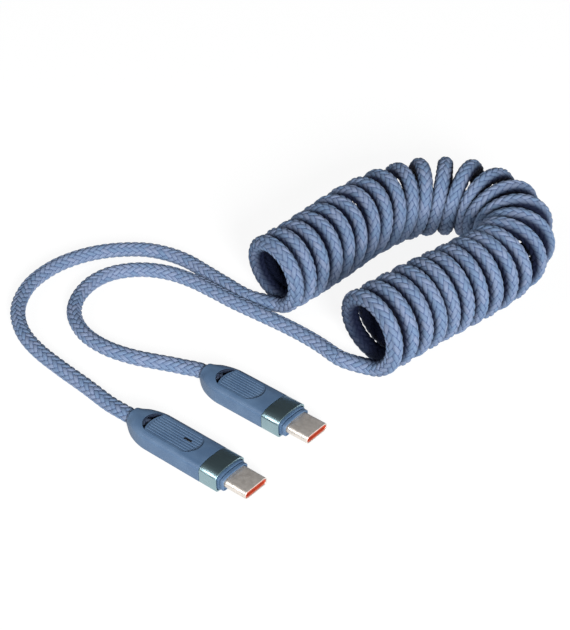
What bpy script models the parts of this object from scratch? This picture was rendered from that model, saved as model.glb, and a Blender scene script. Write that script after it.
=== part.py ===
"""Coiled USB-C cable lying on a table, modelled in metres with +Z up.

The cable is one braided cord with a plug on each end. Most of the cord is wound into a spring
coil, which lies bent into a U. A straight lead leaves each end of the coil and runs to a plug.
The plugs lie side by side and point along +X. The origin is on the table, halfway between them.
"""
import math

import bmesh
import bpy
from mathutils import Vector

MM = 0.001

# Cord
CORD_DIAMETER = 4.25 * MM
CORD_GAP = 0.3 * MM

# Spring coil: the radius of its turns at the long lead's end and at the short lead's
FAR_TURN_RADIUS = 9.05 * MM
NEAR_TURN_RADIUS = 9.8 * MM
COIL_STEP = 5.0 * MM

# Plug, measured along X from the rear of its grip
PLUG_WIDTH = 10.6 * MM
PLUG_HEIGHT = 5.9 * MM
LOW_EDGE_RADIUS = 1.1 * MM
HIGH_EDGE_RADIUS = 1.9 * MM
LONG_GRIP_LENGTH = 27.0 * MM
SHORT_GRIP_LENGTH = 23.4 * MM
TAPER_LENGTH = 8.5 * MM
REAR_WIDTH = 5.6 * MM
REAR_EDGE = 0.3 * MM
PLUG_SPACING = 25.2 * MM
SHORT_PLUG_SETBACK = 1.5 * MM

# Trim band around the front of the grip, and the nose in front of it
BAND_LENGTH = 5.8 * MM
BAND_WALL = 0.5 * MM
BAND_GAP = 0.2 * MM
NOSE_LENGTH = 1.7 * MM
NOSE_EDGE = 0.35 * MM

# Metal shell and its insulating liner, to the USB-C standard's sizes
SHELL_WIDTH = 8.25 * MM
SHELL_HEIGHT = 2.4 * MM
SHELL_REACH = 6.65 * MM
SHELL_WALL = 0.3 * MM
SHELL_SEAT = 2.0 * MM
SHELL_GAP = 0.1 * MM
LINER_WALL = 0.3 * MM
LINER_SETBACK = 0.15 * MM
MOUTH_DEPTH = 6.2 * MM

# Finger pad: a shallow recess with lengthwise grooves, and a window onto the cord behind it
PAD_WIDTH = 7.5 * MM
PAD_DROP = 0.45 * MM
PAD_START = 4.6 * MM
PAD_FRONT_MARGIN = 4.0 * MM
GROOVE_COUNT = 8
GROOVE_PITCH = 0.83 * MM
GROOVE_WIDTH = 0.34 * MM
GROOVE_DEPTH = 0.25 * MM
GROOVE_END_MARGIN = 0.9 * MM
WINDOW_LENGTH = 1.7 * MM
WINDOW_BULGE = 0.9 * MM
WINDOW_LEDGE = 0.2 * MM
BORE_END_WALL = 0.1 * MM

# Indicator lamp in the long plug's pad
LAMP_LENGTH = 2.7 * MM
LAMP_WIDTH = 0.85 * MM
LAMP_DEPTH = 0.6 * MM
LAMP_GAP = 0.1 * MM
LAMP_SETBACK = 8.8 * MM
LAMP_SIDE = 0.7 * MM

# Facets
CORNER_STEPS = 4
ROUND_STEPS = 10
TAPER_STEPS = 8
BORE_SIDES = 24
COIL_RESOLUTION = 8
CORD_RESOLUTION = 2
ROUTE_STEPS = 20
CUT_OVERRUN = 1.0 * MM
WELD_DISTANCE = 0.001 * MM
SHARP_ANGLE = math.radians(40)

# Worked out from the sizes above
CORD_RADIUS = CORD_DIAMETER / 2
BORE_RADIUS = CORD_RADIUS + CORD_GAP
HALF_HEIGHT = PLUG_HEIGHT / 2
NECK_INSET = BAND_WALL + BAND_GAP
PAD_SURFACE = PLUG_HEIGHT - PAD_DROP
WINDOW_FRONT = PAD_START + WINDOW_LENGTH
BORE_DEPTH = WINDOW_FRONT - BORE_END_WALL
CORD_REACH_IN_PLUG = BORE_DEPTH - CORD_GAP
LONG_PLUG_LENGTH = LONG_GRIP_LENGTH + BAND_LENGTH + NOSE_LENGTH + SHELL_REACH
SHORT_PLUG_LENGTH = SHORT_GRIP_LENGTH + BAND_LENGTH + NOSE_LENGTH + SHELL_REACH
LONG_PLUG_PLACE = Vector((-LONG_PLUG_LENGTH / 2, -PLUG_SPACING / 2, 0))
SHORT_PLUG_PLACE = Vector((
    LONG_PLUG_LENGTH / 2 - SHORT_PLUG_SETBACK - SHORT_PLUG_LENGTH, PLUG_SPACING / 2, 0))

# The coil's axis on plan, x and y in millimetres, from the long lead's end to the short lead's
COIL_ROUTE = [
    (-26.4, 48.1), (-25.2, 60.0), (-24.8, 72.0), (-24.6, 84.0), (-22.6, 96.0), (-16.8, 107.5),
    (-6.5, 114.3), (4.5, 113.8), (13.0, 108.2), (17.3, 99.0), (17.3, 87.0), (15.2, 74.0),
    (12.8, 61.0), (10.3, 42.6),
]
# Routes of the leads on the table, x and y in millimetres, from the coil towards the plug
LONG_LEAD_ROUTE = [
    (-32.4, 46.3), (-42.5, 46.8), (-50.0, 47.4), (-57.5, 47.9), (-64.2, 47.0), (-70.4, 44.6),
    (-75.5, 40.6), (-79.8, 35.6), (-83.0, 29.6), (-84.8, 22.8), (-84.9, 16.6), (-83.9, 11.0),
    (-81.6, 5.8), (-78.6, 1.5), (-75.0, -1.9), (-70.7, -4.7), (-65.7, -6.9), (-59.0, -8.6),
    (-50.0, -9.8), (-39.4, -10.8), (-30.5, -11.9),
]
SHORT_LEAD_ROUTE = [
    (4.4, 41.0), (-2.8, 41.9), (-7.6, 42.4), (-15.9, 42.6), (-26.0, 42.2), (-34.5, 41.8),
    (-42.5, 41.9), (-50.4, 41.7), (-57.3, 40.4), (-63.1, 37.7), (-67.4, 33.9), (-70.3, 29.1),
    (-71.2, 23.4), (-70.0, 17.4), (-67.6, 12.8), (-64.6, 9.4), (-60.5, 6.6), (-56.0, 4.8),
    (-51.5, 4.1), (-46.4, 4.2), (-41.7, 5.1), (-37.0, 6.6), (-31.7, 8.9), (-26.2, 11.2),
]
# The cord runs straight for this far behind a grip, and rises from the table over the next stretch
LEAD_STRAIGHT = 1.5 * MM
LEAD_SPACING = 2 * CORD_DIAMETER


def clear_scene():
    """Remove whatever the file holds."""
    for old in list(bpy.data.objects):
        bpy.data.objects.remove(old, do_unlink=True)


def make_collection(name):
    """Return a new collection linked to the scene."""
    collection = bpy.data.collections.new(name)
    bpy.context.scene.collection.children.link(collection)
    return collection


def make_material(name, colour, roughness, metallic=0.0):
    """Return a plain Principled material."""
    material = bpy.data.materials.new(name)
    material.use_nodes = True
    shader = material.node_tree.nodes["Principled BSDF"]
    shader.inputs["Base Color"].default_value = (*colour, 1.0)
    shader.inputs["Roughness"].default_value = roughness
    shader.inputs["Metallic"].default_value = metallic
    return material


def add_object(name, mesh, collection, material=None, parent=None):
    """Link a new object that shows the mesh."""
    added = bpy.data.objects.new(name, mesh)
    collection.objects.link(added)
    added.parent = parent
    if material is not None:
        mesh.materials.append(material)
    return added


def rounded_section(half_width, low, high, low_radius, high_radius):
    """Return the y, z points of an upright slab's section, anticlockwise seen from the front."""
    corners = (
        (half_width - high_radius, high - high_radius, high_radius, 0),
        (high_radius - half_width, high - high_radius, high_radius, 1),
        (low_radius - half_width, low + low_radius, low_radius, 2),
        (half_width - low_radius, low + low_radius, low_radius, 3),
    )
    points = []
    for y, z, radius, quarter in corners:
        for step in range(CORNER_STEPS + 1):
            angle = (quarter + step / CORNER_STEPS) * math.pi / 2
            points.append((y + radius * math.cos(angle), z + radius * math.sin(angle)))
    return points


def inset_section(inset):
    """Return the plug's full section drawn in by an even inset."""
    return rounded_section(
        PLUG_WIDTH / 2 - inset, inset, PLUG_HEIGHT - inset,
        LOW_EDGE_RADIUS - min(inset, LOW_EDGE_RADIUS / 2), HIGH_EDGE_RADIUS - inset)


def loft(name, rings):
    """Return a closed mesh through rings, each an x and a list of y, z points."""
    shell = bmesh.new()
    loops = [[shell.verts.new((x, y, z)) for y, z in points] for x, points in rings]
    for back, front in zip(loops, loops[1:]):
        for i in range(len(back)):
            j = (i + 1) % len(back)
            shell.faces.new((back[i], back[j], front[j], front[i]))
    shell.faces.new(list(reversed(loops[0])))
    shell.faces.new(loops[-1])
    bmesh.ops.recalc_face_normals(shell, faces=shell.faces)
    mesh = bpy.data.meshes.new(name)
    shell.to_mesh(mesh)
    shell.free()
    return mesh


def stadium(length, width):
    """Return the outline of a straight slot with round ends, centred on its middle."""
    radius = width / 2
    points = []
    for centre, start in ((length / 2 - radius, -math.pi / 2), (radius - length / 2, math.pi / 2)):
        for step in range(ROUND_STEPS + 1):
            angle = start + math.pi * step / ROUND_STEPS
            points.append((centre + radius * math.cos(angle), radius * math.sin(angle)))
    return points


def plate(name, outlines, thickness):
    """Return a flat plate's mesh: the first outline is its edge, and the others are holes."""
    curve = bpy.data.curves.new(name, "CURVE")
    curve.dimensions = "2D"
    curve.fill_mode = "BOTH"
    curve.extrude = thickness / 2
    for outline in outlines:
        spline = curve.splines.new("POLY")
        spline.points.add(len(outline) - 1)
        spline.use_cyclic_u = True
        for point, (x, y) in zip(spline.points, outline):
            point.co = (x, y, 0, 1)
    return mesh_from_curve(name, curve)


def mesh_from_curve(name, curve):
    """Turn a curve into a welded mesh and drop the curve."""
    holder = bpy.data.objects.new(name + "_curve", curve)
    bpy.context.scene.collection.objects.link(holder)
    depsgraph = bpy.context.evaluated_depsgraph_get()
    mesh = bpy.data.meshes.new_from_object(holder.evaluated_get(depsgraph))
    mesh.name = name
    bpy.data.objects.remove(holder, do_unlink=True)
    bpy.data.curves.remove(curve)
    weld = bmesh.new()
    weld.from_mesh(mesh)
    bmesh.ops.remove_doubles(weld, verts=weld.verts, dist=WELD_DISTANCE)
    bmesh.ops.recalc_face_normals(weld, faces=weld.faces)
    weld.to_mesh(mesh)
    weld.free()
    return mesh


def box_mesh(name, boxes):
    """Return one mesh of boxes, each a low and a high corner."""
    solid = bmesh.new()
    for low, high in boxes:
        made = bmesh.ops.create_cube(solid, size=1.0)["verts"]
        size = [b - a for a, b in zip(low, high)]
        middle = [(a + b) / 2 for a, b in zip(low, high)]
        bmesh.ops.scale(solid, vec=size, verts=made)
        bmesh.ops.translate(solid, vec=middle, verts=made)
    mesh = bpy.data.meshes.new(name)
    solid.to_mesh(mesh)
    solid.free()
    return mesh


def cut(body, name, mesh, collection, location=(0, 0, 0), rotation=(0, 0, 0)):
    """Take a cutter's shape out of the body, whose parent places both."""
    cutter = add_object(name, mesh, collection, parent=body.parent)
    cutter.location = location
    cutter.rotation_euler = rotation
    cutter.hide_render = True
    cutter.display_type = "WIRE"
    take = body.modifiers.new(name, "BOOLEAN")
    take.operation = "DIFFERENCE"
    take.solver = "EXACT"
    take.object = cutter


def turn_across(thing, x, z):
    """Stand a plate across the plug, its thickness along X, centred at x and z."""
    thing.location = (x, 0, z)
    thing.rotation_euler = (math.pi / 2, 0, math.pi / 2)


def grip_rings(grip_length):
    """Return the loft stations of a grip, from its tapered rear to the front of its nose."""
    rear_half = REAR_WIDTH / 2
    rear_edge_radius = rear_half - REAR_EDGE
    rings = [(0, rounded_section(
        rear_half - REAR_EDGE, HALF_HEIGHT - rear_half + REAR_EDGE, HALF_HEIGHT + rear_half - REAR_EDGE,
        rear_edge_radius - REAR_EDGE, rear_edge_radius - REAR_EDGE))]
    for step in range(TAPER_STEPS + 1):
        share = step / TAPER_STEPS
        ease = math.sin(share * math.pi / 2)
        half_width = rear_half + (PLUG_WIDTH / 2 - rear_half) * ease
        low = (HALF_HEIGHT - rear_half) * (1 - ease)
        low_radius = rear_edge_radius + (LOW_EDGE_RADIUS - rear_edge_radius) * ease
        high_radius = rear_edge_radius + (HIGH_EDGE_RADIUS - rear_edge_radius) * ease
        x = REAR_EDGE + (TAPER_LENGTH - REAR_EDGE) * share
        rings.append((x, rounded_section(half_width, low, PLUG_HEIGHT - low, low_radius, high_radius)))
    nose_front = grip_length + BAND_LENGTH + NOSE_LENGTH
    rings.append((grip_length, inset_section(0)))
    rings.append((grip_length, inset_section(NECK_INSET)))
    rings.append((nose_front - NOSE_EDGE, inset_section(NECK_INSET)))
    rings.append((nose_front, inset_section(NECK_INSET + NOSE_EDGE)))
    return rings


def pad_outline_half_length(pad_length, y):
    """Return how far the pad reaches each way from its middle at a distance from its centre line."""
    radius = PAD_WIDTH / 2
    return pad_length / 2 - radius + math.sqrt(max(radius * radius - y * y, 0))


def groove_boxes(pad_length):
    """Return the boxes of the pad's lengthwise grooves, from the pad's middle."""
    boxes = []
    for i in range(GROOVE_COUNT):
        y = (i - (GROOVE_COUNT - 1) / 2) * GROOVE_PITCH
        reach = pad_outline_half_length(pad_length, y) - GROOVE_END_MARGIN
        start = max(-reach, WINDOW_LENGTH + GROOVE_END_MARGIN - pad_length / 2)
        boxes.append((
            (start, y - GROOVE_WIDTH / 2, PAD_SURFACE - GROOVE_DEPTH),
            (reach, y + GROOVE_WIDTH / 2, PLUG_HEIGHT)))
    return boxes


def window_outline():
    """Return the crescent between the pad's rear end and the recess, from the plug's rear."""
    radius = PAD_WIDTH / 2 - WINDOW_LEDGE
    centre = PAD_START + PAD_WIDTH / 2
    tip = WINDOW_FRONT + WINDOW_BULGE
    tip_angle = math.acos((centre - tip) / radius)
    points = []
    for step in range(ROUND_STEPS + 1):
        angle = math.pi - tip_angle + 2 * tip_angle * step / ROUND_STEPS
        points.append((centre + radius * math.cos(angle), radius * math.sin(angle)))
    half_chord = radius * math.sin(tip_angle)
    for step in range(1, ROUND_STEPS):
        y = half_chord * (2 * step / ROUND_STEPS - 1)
        points.append((WINDOW_FRONT + WINDOW_BULGE * (y / half_chord) ** 2, y))
    return points


def build_grip(prefix, grip_length, place, has_lamp, parts, cutters, material):
    """Make a grip: the moulded body with its pad, window, cord bore and shell pocket."""
    body = loft(prefix + "_grip", grip_rings(grip_length))
    grip = add_object(prefix + "_grip", body, parts, material, place)
    pad_length = grip_length - PAD_START - PAD_FRONT_MARGIN
    pad_middle = PAD_START + pad_length / 2
    recess_height = PAD_DROP + CUT_OVERRUN
    cut(grip, prefix + "_recess", plate("recess", [stadium(pad_length, PAD_WIDTH)], recess_height), cutters,
        (pad_middle, 0, PAD_SURFACE + recess_height / 2))
    bore_length = BORE_DEPTH + CUT_OVERRUN
    bore = bmesh.new()
    bmesh.ops.create_cone(
        bore, cap_ends=True, segments=BORE_SIDES, radius1=BORE_RADIUS, radius2=BORE_RADIUS, depth=bore_length)
    bore_mesh = bpy.data.meshes.new("bore")
    bore.to_mesh(bore_mesh)
    bore.free()
    cut(grip, prefix + "_bore", bore_mesh, cutters,
        (BORE_DEPTH - bore_length / 2, 0, HALF_HEIGHT), (0, math.pi / 2, 0))
    window_height = HALF_HEIGHT + CUT_OVERRUN
    cut(grip, prefix + "_window", plate("window", [window_outline()], window_height), cutters,
        (0, 0, HALF_HEIGHT + window_height / 2))
    cut(grip, prefix + "_grooves", box_mesh("grooves", groove_boxes(pad_length)), cutters, (pad_middle, 0, 0))
    pocket_length = SHELL_SEAT + SHELL_GAP + CUT_OVERRUN
    nose_front = grip_length + BAND_LENGTH + NOSE_LENGTH
    pocket = plate(
        "pocket", [stadium(SHELL_WIDTH + 2 * SHELL_GAP, SHELL_HEIGHT + 2 * SHELL_GAP)], pocket_length)
    cut(grip, prefix + "_pocket", pocket, cutters,
        (nose_front + CUT_OVERRUN - pocket_length / 2, 0, HALF_HEIGHT), (math.pi / 2, 0, math.pi / 2))
    if has_lamp:
        lamp_height = LAMP_DEPTH + CUT_OVERRUN
        cut(grip, prefix + "_lamp_slot", plate("lamp_slot", [stadium(LAMP_LENGTH, LAMP_WIDTH)], lamp_height),
            cutters, (grip_length - LAMP_SETBACK, LAMP_SIDE, PAD_SURFACE - LAMP_DEPTH + lamp_height / 2))


def build_band(prefix, grip_length, place, parts, material):
    """Make the metal trim band, flush with the grip behind it."""
    outer = inset_section(0)
    inner = inset_section(BAND_WALL)
    band = add_object(prefix + "_band", plate(prefix + "_band", [outer, inner], BAND_LENGTH - 2 * BAND_GAP),
                      parts, material, place)
    turn_across(band, grip_length + BAND_LENGTH / 2, 0)


def build_shell(prefix, grip_length, place, parts, material):
    """Make the metal shell: a flat sleeve with round sides, seated in the nose."""
    nose_front = grip_length + BAND_LENGTH + NOSE_LENGTH
    length = SHELL_SEAT + SHELL_REACH
    outlines = [stadium(SHELL_WIDTH, SHELL_HEIGHT),
                stadium(SHELL_WIDTH - 2 * SHELL_WALL, SHELL_HEIGHT - 2 * SHELL_WALL)]
    shell = add_object(prefix + "_shell", plate(prefix + "_shell", outlines, length), parts, material, place)
    turn_across(shell, nose_front + SHELL_REACH - length / 2, HALF_HEIGHT)


def build_liner(prefix, grip_length, place, parts, cutters, material):
    """Make the insulating liner: a block inside the shell with the plug's mouth in its front."""
    nose_front = grip_length + BAND_LENGTH + NOSE_LENGTH
    front = nose_front + SHELL_REACH - LINER_SETBACK
    length = SHELL_SEAT + SHELL_REACH - LINER_SETBACK
    width = SHELL_WIDTH - 2 * (SHELL_WALL + SHELL_GAP)
    height = SHELL_HEIGHT - 2 * (SHELL_WALL + SHELL_GAP)
    liner = add_object(prefix + "_liner", plate(prefix + "_liner", [stadium(width, height)], length),
                       parts, material, place)
    turn_across(liner, front - length / 2, HALF_HEIGHT)
    mouth_length = MOUTH_DEPTH + CUT_OVERRUN
    mouth = plate("mouth", [stadium(width - 2 * LINER_WALL, height - 2 * LINER_WALL)], mouth_length)
    cut(liner, prefix + "_mouth", mouth, cutters,
        (front + CUT_OVERRUN - mouth_length / 2, 0, HALF_HEIGHT), (math.pi / 2, 0, math.pi / 2))


def build_lamp(prefix, grip_length, place, parts, material):
    """Make the indicator lamp's lens, just below the pad's surface in its slot."""
    height = LAMP_DEPTH - 2 * LAMP_GAP
    outline = stadium(LAMP_LENGTH - 2 * LAMP_GAP, LAMP_WIDTH - 2 * LAMP_GAP)
    lamp = add_object(prefix + "_lamp", plate(prefix + "_lamp", [outline], height), parts, material, place)
    lamp.location = (grip_length - LAMP_SETBACK, LAMP_SIDE, PAD_SURFACE - LAMP_GAP - height / 2)


def build_plug(prefix, grip_length, location, has_lamp, parts, cutters, materials):
    """Make one plug at its place on the table."""
    place = bpy.data.objects.new(prefix + "_place", None)
    place.location = location
    parts.objects.link(place)
    build_grip(prefix, grip_length, place, has_lamp, parts, cutters, materials["grip"])
    build_band(prefix, grip_length, place, parts, materials["band"])
    build_shell(prefix, grip_length, place, parts, materials["shell"])
    build_liner(prefix, grip_length, place, parts, cutters, materials["liner"])
    if has_lamp:
        build_lamp(prefix, grip_length, place, parts, materials["lamp"])


def smooth_route(knots):
    """Return a fine path on a smooth curve through the knots, by Catmull-Rom with even chords."""
    fine = []
    ends = [2 * knots[0] - knots[1]] + knots + [2 * knots[-1] - knots[-2]]
    for before, start, stop, after in zip(ends, ends[1:], ends[2:], ends[3:]):
        t1 = (start - before).length ** 0.5
        t2 = t1 + (stop - start).length ** 0.5
        t3 = t2 + (after - stop).length ** 0.5
        for step in range(ROUTE_STEPS):
            t = t1 + (t2 - t1) * step / ROUTE_STEPS
            a = before.lerp(start, t / t1)
            b = start.lerp(stop, (t - t1) / (t2 - t1))
            c = stop.lerp(after, (t - t2) / (t3 - t2))
            fine.append(a.lerp(b, t / t2).lerp(b.lerp(c, (t - t1) / (t3 - t1)), (t - t1) / (t2 - t1)))
    fine.append(knots[-1])
    return fine


def even_points(fine, spacing):
    """Return points at an even spacing along a fine path, both ends kept."""
    travel = [0.0]
    for a, b in zip(fine, fine[1:]):
        travel.append(travel[-1] + (b - a).length)
    count = max(round(travel[-1] / spacing), 1)
    points = []
    i = 0
    for k in range(count):
        goal = travel[-1] * k / count
        while travel[i + 1] < goal:
            i += 1
        share = (goal - travel[i]) / (travel[i + 1] - travel[i])
        points.append(fine[i].lerp(fine[i + 1], share))
    points.append(fine[-1])
    return points


def build_coil(parts, material):
    """Make the wound stretch of the cord as one bent pipe: its turns' outer shape, and their bore."""
    far_radius = FAR_TURN_RADIUS + CORD_RADIUS
    near_radius = NEAR_TURN_RADIUS + CORD_RADIUS
    curve = bpy.data.curves.new("coil", "CURVE")
    curve.dimensions = "3D"
    curve.twist_mode = "Z_UP"
    curve.bevel_depth = far_radius
    curve.bevel_resolution = COIL_RESOLUTION
    axis = even_points(smooth_route([Vector((x * MM, y * MM)) for x, y in COIL_ROUTE]), COIL_STEP)
    spline = curve.splines.new("POLY")
    spline.points.add(len(axis) - 1)
    for i, (point, place) in enumerate(zip(spline.points, axis)):
        radius = far_radius + (near_radius - far_radius) * i / (len(axis) - 1)
        point.co = (place.x, place.y, radius, 1)
        point.radius = radius / far_radius
    coil = add_object("coil", mesh_from_curve("coil", curve), parts, material)
    wall = coil.modifiers.new("wall", "SOLIDIFY")
    wall.thickness = CORD_DIAMETER
    wall.offset = -1
    wall.use_even_offset = True
    coil.data.shade_smooth()
    coil.data.set_sharp_from_angle(angle=SHARP_ANGLE)


def build_lead(name, route, plug_place, parts, material):
    """Make the straight lead from the coil into the rear of a plug."""
    entry = plug_place + Vector((-LEAD_STRAIGHT, 0, HALF_HEIGHT))
    inside = plug_place + Vector((CORD_REACH_IN_PLUG, 0, HALF_HEIGHT))
    knots = [Vector((x * MM, y * MM, CORD_RADIUS)) for x, y in route] + [entry]
    points = even_points(smooth_route(knots + [inside])[:-ROUTE_STEPS], LEAD_SPACING) + [inside]
    curve = bpy.data.curves.new(name, "CURVE")
    curve.dimensions = "3D"
    curve.bevel_depth = CORD_RADIUS
    curve.bevel_resolution = CORD_RESOLUTION
    curve.use_fill_caps = True
    spline = curve.splines.new("POLY")
    spline.points.add(len(points) - 1)
    for point, place in zip(spline.points, points):
        point.co = (place.x, place.y, max(place.z, CORD_RADIUS), 1)
    lead = add_object(name, curve, parts)
    curve.materials.append(material)
    return lead


def main():
    """Build the whole cable."""
    clear_scene()
    parts = make_collection("coiled_usb_c_cable")
    cutters = make_collection("cutters")
    materials = {
        "cord": make_material("braided_cord", (0.13, 0.17, 0.25), 0.85),
        "grip": make_material("soft_touch_plastic", (0.06, 0.105, 0.17), 0.55),
        "band": make_material("teal_lacquered_metal", (0.06, 0.12, 0.14), 0.25, 0.8),
        "shell": make_material("nickel_plate", (0.62, 0.60, 0.57), 0.28, 1.0),
        "liner": make_material("orange_insulator", (0.42, 0.05, 0.02), 0.45),
        "lamp": make_material("smoked_lens", (0.01, 0.01, 0.015), 0.15),
    }
    build_coil(parts, materials["cord"])
    build_lead("long_plug_lead", LONG_LEAD_ROUTE, LONG_PLUG_PLACE, parts, materials["cord"])
    build_lead("short_plug_lead", SHORT_LEAD_ROUTE, SHORT_PLUG_PLACE, parts, materials["cord"])
    build_plug("long_plug", LONG_GRIP_LENGTH, LONG_PLUG_PLACE, True, parts, cutters, materials)
    build_plug("short_plug", SHORT_GRIP_LENGTH, SHORT_PLUG_PLACE, False, parts, cutters, materials)


main()
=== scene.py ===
# %% [markdown]
# # A coiled charging cable with a braided cord
#
# The cable is one braided cord with a flat plug on each end. Most of the cord is wound into a
# spring coil that lies on the table, bent into a U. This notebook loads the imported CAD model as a
# fixed frame and builds the visible surfaces around it: first the camera and the cord, then the
# two plugs, then the finishes, and last the table and the light.

# %% Load the frame
import math

import bmesh
import bpy
import numpy as np
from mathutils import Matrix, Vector


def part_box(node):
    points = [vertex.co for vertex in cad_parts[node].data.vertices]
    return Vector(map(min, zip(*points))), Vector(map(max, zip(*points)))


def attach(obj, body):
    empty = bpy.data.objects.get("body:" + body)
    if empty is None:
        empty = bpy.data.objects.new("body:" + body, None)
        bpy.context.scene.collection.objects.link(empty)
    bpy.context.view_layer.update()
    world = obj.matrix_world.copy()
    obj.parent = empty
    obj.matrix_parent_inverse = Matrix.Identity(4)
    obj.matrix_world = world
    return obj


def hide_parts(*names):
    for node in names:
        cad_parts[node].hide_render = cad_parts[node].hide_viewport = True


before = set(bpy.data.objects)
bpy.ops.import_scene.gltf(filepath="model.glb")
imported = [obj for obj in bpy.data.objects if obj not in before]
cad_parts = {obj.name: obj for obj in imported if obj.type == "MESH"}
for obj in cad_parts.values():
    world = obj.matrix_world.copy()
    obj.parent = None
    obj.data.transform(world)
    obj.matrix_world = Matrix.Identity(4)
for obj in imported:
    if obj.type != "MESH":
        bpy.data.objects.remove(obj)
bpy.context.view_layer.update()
bpy.ops.object.select_all(action="DESELECT")
MM = 0.001
print("CAD nodes:", sorted(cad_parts))

# %% [markdown]
# ## The camera
#
# The photograph looks down on the table from about 37 degrees, along a line turned 40 degrees from
# the way the plugs point across. A long lens at half a metre gives the same mild perspective. A
# camera could be aimed with a Track To constraint, but a rotation worked out from two points leaves
# nothing live behind.

# %% Place the camera
CAMERA_AIM = Vector((-21.5, 48.4, 0)) * MM
CAMERA_DISTANCE = 478.5 * MM
CAMERA_AZIMUTH = math.radians(40)
CAMERA_ELEVATION = math.radians(37)
SENSOR_WIDTH = 36.0
IMAGE_HEIGHT = 630
FOCAL_PIXELS = 1725

back = Vector((
    math.sin(CAMERA_AZIMUTH) * math.cos(CAMERA_ELEVATION),
    -math.cos(CAMERA_AZIMUTH) * math.cos(CAMERA_ELEVATION),
    math.sin(CAMERA_ELEVATION)))
camera_data = bpy.data.cameras.new("camera")
camera_data.sensor_width = SENSOR_WIDTH
camera_data.lens = FOCAL_PIXELS / IMAGE_HEIGHT * SENSOR_WIDTH
camera_data.clip_start = 10 * MM
camera_data.clip_end = 10
camera = bpy.data.objects.new("camera", camera_data)
bpy.context.scene.collection.objects.link(camera)
camera.location = CAMERA_AIM + back * CAMERA_DISTANCE
camera.rotation_euler = (-back).to_track_quat("-Z", "Y").to_euler()
bpy.context.scene.camera = camera
print("camera at", [round(x / MM, 1) for x in camera.location], "mm, lens", round(camera_data.lens, 1))

# %% [markdown]
# ## The cord's centreline
#
# One curve runs the whole way: out of the long plug, round the long lead, through every turn of the
# coil, and back along the short lead into the short plug. The leads lie on the table in the loose
# loops of the photograph, so their points are listed one by one. The coil follows a rule, so a loop
# works it out: a helix whose axis is a U on plan.

# %% The cord and where the two plugs hold it
CORD_DIAMETER = 4.25 * MM
CORD_RADIUS = CORD_DIAMETER / 2
PLUG_HEIGHT = 5.9 * MM
LEAD_STRAIGHT = 1.5 * MM
CORD_REACH_IN_PLUG = 5.9 * MM


def plug_rear(node):
    """The middle of a grip's rear end."""
    low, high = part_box(node)
    return Vector((low.x, (low.y + high.y) / 2, PLUG_HEIGHT / 2))


long_plug_rear = plug_rear("long_plug_grip")
short_plug_rear = plug_rear("short_plug_grip")

# Routes on the table, x and y in millimetres, from the coil towards the plug
LONG_LEAD_ROUTE = [
    (-32.4, 46.3), (-42.5, 46.8), (-50.0, 47.4), (-57.5, 47.9), (-64.2, 47.0), (-70.4, 44.6),
    (-75.5, 40.6), (-79.8, 35.6), (-83.0, 29.6), (-84.8, 22.8), (-84.9, 16.6), (-83.9, 11.0),
    (-81.6, 5.8), (-78.6, 1.5), (-75.0, -1.9), (-70.7, -4.7), (-65.7, -6.9), (-59.0, -8.6),
    (-50.0, -9.8), (-39.4, -10.8), (-30.5, -11.9),
]
SHORT_LEAD_ROUTE = [
    (4.4, 41.0), (-2.8, 41.9), (-7.6, 42.4), (-15.9, 42.6), (-26.0, 42.2), (-34.5, 41.8),
    (-42.5, 41.9), (-50.4, 41.7), (-57.3, 40.4), (-63.1, 37.7), (-67.4, 33.9), (-70.3, 29.1),
    (-71.2, 23.4), (-70.0, 17.4), (-67.6, 12.8), (-64.6, 9.4), (-60.5, 6.6), (-56.0, 4.8),
    (-51.5, 4.1), (-46.4, 4.2), (-41.7, 5.1), (-37.0, 6.6), (-31.7, 8.9), (-26.2, 11.2),
]


def lead_knots(route, rear):
    """Points from the coil into the plug: on the table, then up into the middle of the grip."""
    knots = [Vector((x * MM, y * MM, CORD_RADIUS)) for x, y in route]
    knots.append(rear - Vector((LEAD_STRAIGHT, 0, 0)))
    knots.append(rear + Vector((CORD_REACH_IN_PLUG, 0, 0)))
    return knots


long_knots = lead_knots(LONG_LEAD_ROUTE, long_plug_rear)
short_knots = lead_knots(SHORT_LEAD_ROUTE, short_plug_rear)
print("lead knots:", len(long_knots), "and", len(short_knots))

# %% [markdown]
# ## The turns
#
# The helix turns once for every step of its pitch, about an axis that bends into a U on plan. The
# axis, the pitch and the lean of the turns are read from the photograph: the turns sit close on the
# two legs, lean back on the far one, and fan out round the bend. They touch the table, so the axis
# lies one outer radius above it.

# %% Smooth lines through points
def catmull_rom(knots, steps=12):
    """A fine line through the knots."""
    knots = np.array([tuple(k) for k in knots])
    knots = np.vstack([2 * knots[0] - knots[1], knots, 2 * knots[-1] - knots[-2]])
    fine = []
    for p0, p1, p2, p3 in zip(knots, knots[1:], knots[2:], knots[3:]):
        t1 = np.linalg.norm(p1 - p0) ** 0.5
        t2 = t1 + np.linalg.norm(p2 - p1) ** 0.5
        t3 = t2 + np.linalg.norm(p3 - p2) ** 0.5
        t = np.linspace(t1, t2, steps, endpoint=False)[:, None]
        a = p0 + (p1 - p0) * t / t1
        b = p1 + (p2 - p1) * (t - t1) / (t2 - t1)
        c = p2 + (p3 - p2) * (t - t2) / (t3 - t2)
        ab = a + (b - a) * t / t2
        bc = b + (c - b) * (t - t1) / (t3 - t1)
        fine.append(ab + (bc - ab) * (t - t1) / (t2 - t1))
    fine.append(knots[-2:-1])
    return np.vstack(fine)


def travel_along(line):
    """The distance along a line at each of its points."""
    return np.concatenate([[0], np.cumsum(np.linalg.norm(np.diff(line, axis=0), axis=1))])


def evened(line, spacing):
    """The same line with its points at an even spacing."""
    travel = travel_along(line)
    count = max(round(travel[-1] / spacing), 2)
    stops = np.linspace(0, travel[-1], count + 1)
    return np.stack([np.interp(stops, travel, line[:, k]) for k in range(3)], axis=1)


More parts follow.
